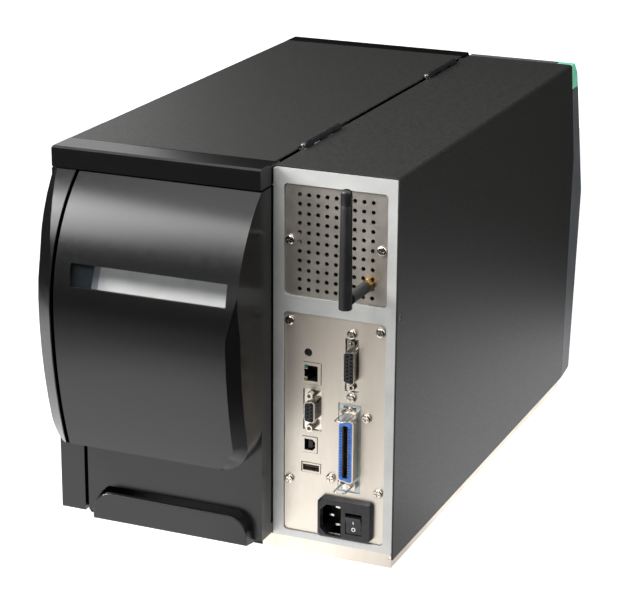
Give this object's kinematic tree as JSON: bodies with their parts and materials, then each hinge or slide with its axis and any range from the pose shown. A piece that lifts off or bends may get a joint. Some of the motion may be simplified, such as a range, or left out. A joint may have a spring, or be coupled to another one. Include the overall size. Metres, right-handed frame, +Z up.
{
  "type": "thermal transfer printer",
  "caption": "Desk-side thermal transfer label printer with a hinged media cover, a label roll on its arm, a print mechanism, rear ports, a mains inlet and a swivelling antenna.",
  "frame": {"origin": "under the middle of the overall box, on the surface the feet stand on", "axes": "+Z up, -Y towards the front with the label exit, +Y towards the rear ports, +X towards the media side"},
  "size_m": [0.2632, 0.5212, 0.3033],
  "materials": {
    "cast": "cast, light grey",
    "black_sheet": "fine texture powder coat",
    "pan_sheet": "smooth",
    "vent_steel": "zinc plated",
    "plate_steel": "nickel plated",
    "screw_steel": "plated",
    "steel": "ground",
    "rubber": "matte",
    "platen_rubber": "smooth",
    "black_plastic": "satin",
    "grey_plastic": "fine texture",
    "green_plastic": "satin",
    "light_plastic": "satin",
    "blue_plastic": "satin",
    "board": "solder mask",
    "screen": "gloss",
    "clear": "clear",
    "paper": "paper",
    "gold": "gold plated",
    "motor": "semi gloss",
    "belt": "matte"
  },
  "bodies": {
    "housing": {"base_pan": "pan_sheet", "rubber_feet": "rubber", "centre_frame": "cast", "vent_plate": "vent_steel", "connector_plate": "plate_steel", "case_screws": "screw_steel", "electronics_cover": "black_sheet", "front_bezel": "grey_plastic", "accent_corner": "green_plastic", "control_panel": "grey_plastic", "display_module": "screen", "ethernet_jack": "steel", "serial_port": "screw_steel", "applicator_port": "screw_steel", "usb_sockets": "steel", "parallel_port_shell": "screw_steel", "parallel_port_insert": "blue_plastic", "power_inlet": "black_plastic", "antenna_socket": "gold", "rear_cover": "black_plastic", "rear_window": "clear", "hinge_leaf_base": "steel", "hinge_pins": "steel", "label_hanger": "grey_plastic", "print_frame": "cast", "shaft_bearings": "light_plastic", "drive_belt": "belt", "stepper_motor": "motor", "tear_bar": "steel", "guide_posts": "steel", "lower_front_cover": "grey_plastic", "circuit_boards": "board", "power_supply": "vent_steel"},
    "media_cover": {"lid_shell": "black_sheet", "lid_rear_cap": "black_plastic", "lid_front_cap": "black_plastic", "side_window": "clear", "hinge_leaf_lid": "steel"},
    "pause_key_body": {"pause_key": "light_plastic"},
    "feed_key_body": {"feed_key": "light_plastic"},
    "cancel_key_body": {"cancel_key": "light_plastic"},
    "reset_button_body": {"reset_button": "black_plastic"},
    "power_rocker": {"power_switch": "black_plastic"},
    "upper_bail": {"upper_port_bail": "steel"},
    "lower_bail": {"lower_port_bail": "steel"},
    "antenna_arm": {"antenna_elbow": "black_plastic"},
    "antenna_mast": {"antenna_whip": "black_plastic"},
    "labels": {"label_roll": "paper"},
    "guide_disc": {"roll_guide": "light_plastic"},
    "platen": {"platen_shaft": "steel", "platen_rubber": "platen_rubber", "platen_pulley": "light_plastic"},
    "motor_rotor": {"motor_pulley": "steel"},
    "print_head": {"printhead_bracket": "cast", "printhead": "steel"},
    "latch": {"head_latch": "green_plastic"},
    "supply_spindle": {"ribbon_supply": "light_plastic"},
    "takeup_spindle": {"ribbon_takeup": "light_plastic"},
    "damper": {"web_damper": "light_plastic"},
    "label_edge_guide": {"edge_guide": "green_plastic"}
  },
  "joints": [
    {"name": "media_cover_hinge", "type": "hinge", "parent": "housing", "child": "media_cover", "pos_m": [-0.0368, 0, 0.301], "axis": [0, -1, 0], "range_deg": [0, 170]},
    {"name": "pause_key_press", "type": "slide", "parent": "housing", "child": "pause_key_body", "axis": [0, 0.9694, -0.2456], "range_m": [0, 0.001], "stiffness_N_per_m": 300},
    {"name": "feed_key_press", "type": "slide", "parent": "housing", "child": "feed_key_body", "axis": [0, 0.9694, -0.2456], "range_m": [0, 0.001], "stiffness_N_per_m": 300},
    {"name": "cancel_key_press", "type": "slide", "parent": "housing", "child": "cancel_key_body", "axis": [0, 0.9694, -0.2456], "range_m": [0, 0.001], "stiffness_N_per_m": 300},
    {"name": "reset_press", "type": "slide", "parent": "housing", "child": "reset_button_body", "axis": [0, -1, 0], "range_m": [0, 0.001], "stiffness_N_per_m": 400},
    {"name": "power_rocker_tilt", "type": "hinge", "parent": "housing", "child": "power_rocker", "pos_m": [-0.1013, 0.19355, 0.0352], "axis": [1, 0, 0], "range_deg": [0, 18]},
    {"name": "upper_bail_swing", "type": "hinge", "parent": "housing", "child": "upper_bail", "pos_m": [-0.0957, 0.19675, 0.1201], "axis": [1, 0, 0], "range_deg": [-8, 70]},
    {"name": "lower_bail_swing", "type": "hinge", "parent": "housing", "child": "lower_bail", "pos_m": [-0.0957, 0.19675, 0.0653], "axis": [-1, 0, 0], "range_deg": [-8, 70]},
    {"name": "antenna_swivel", "type": "hinge", "parent": "housing", "child": "antenna_arm", "pos_m": [-0.1095, 0.19475, 0.2197], "axis": [0, 1, 0], "range_deg": [-150, 60]},
    {"name": "antenna_tilt", "type": "hinge", "parent": "antenna_arm", "child": "antenna_mast", "pos_m": [-0.1095, 0.23935, 0.2197], "axis": [-1, 0, 0], "range_deg": [0, 90]},
    {"name": "label_roll_spin", "type": "hinge", "parent": "housing", "child": "labels", "pos_m": [0, 0.14935, 0.175], "axis": [1, 0, 0], "continuous": true},
    {"name": "roll_guide_slide", "type": "slide", "parent": "housing", "child": "guide_disc", "axis": [1, 0, 0], "range_m": [0, 0.014]},
    {"name": "platen_spin", "type": "hinge", "parent": "housing", "child": "platen", "pos_m": [0, -0.20065, 0.11], "axis": [1, 0, 0], "continuous": true},
    {"name": "motor_spin", "type": "hinge", "parent": "housing", "child": "motor_rotor", "pos_m": [-0.05, -0.14865, 0.062], "axis": [1, 0, 0], "continuous": true},
    {"name": "print_head_lift", "type": "hinge", "parent": "housing", "child": "print_head", "pos_m": [0, -0.13665, 0.14], "axis": [-1, 0, 0], "range_deg": [0, 35]},
    {"name": "head_latch_turn", "type": "hinge", "parent": "print_head", "child": "latch", "pos_m": [0, -0.16065, 0.156], "axis": [-1, 0, 0], "range_deg": [0, 70]},
    {"name": "ribbon_supply_spin", "type": "hinge", "parent": "housing", "child": "supply_spindle", "pos_m": [0, -0.01265, 0.222], "axis": [1, 0, 0], "continuous": true},
    {"name": "ribbon_takeup_spin", "type": "hinge", "parent": "housing", "child": "takeup_spindle", "pos_m": [0, -0.12465, 0.236], "axis": [1, 0, 0], "continuous": true},
    {"name": "web_damper_swing", "type": "hinge", "parent": "housing", "child": "damper", "pos_m": [0, 0.03935, 0.072], "axis": [-1, 0, 0], "range_deg": [0, 35], "stiffness_Nm_per_rad": 0.05, "springref_deg": -11.46},
    {"name": "edge_guide_slide", "type": "slide", "parent": "housing", "child": "label_edge_guide", "axis": [-1, 0, 0], "range_m": [0, 0.055]}
  ],
  "couplings": [
    {"joint": "motor_spin", "follows": "platen_spin", "ratio": 2}
  ]
}
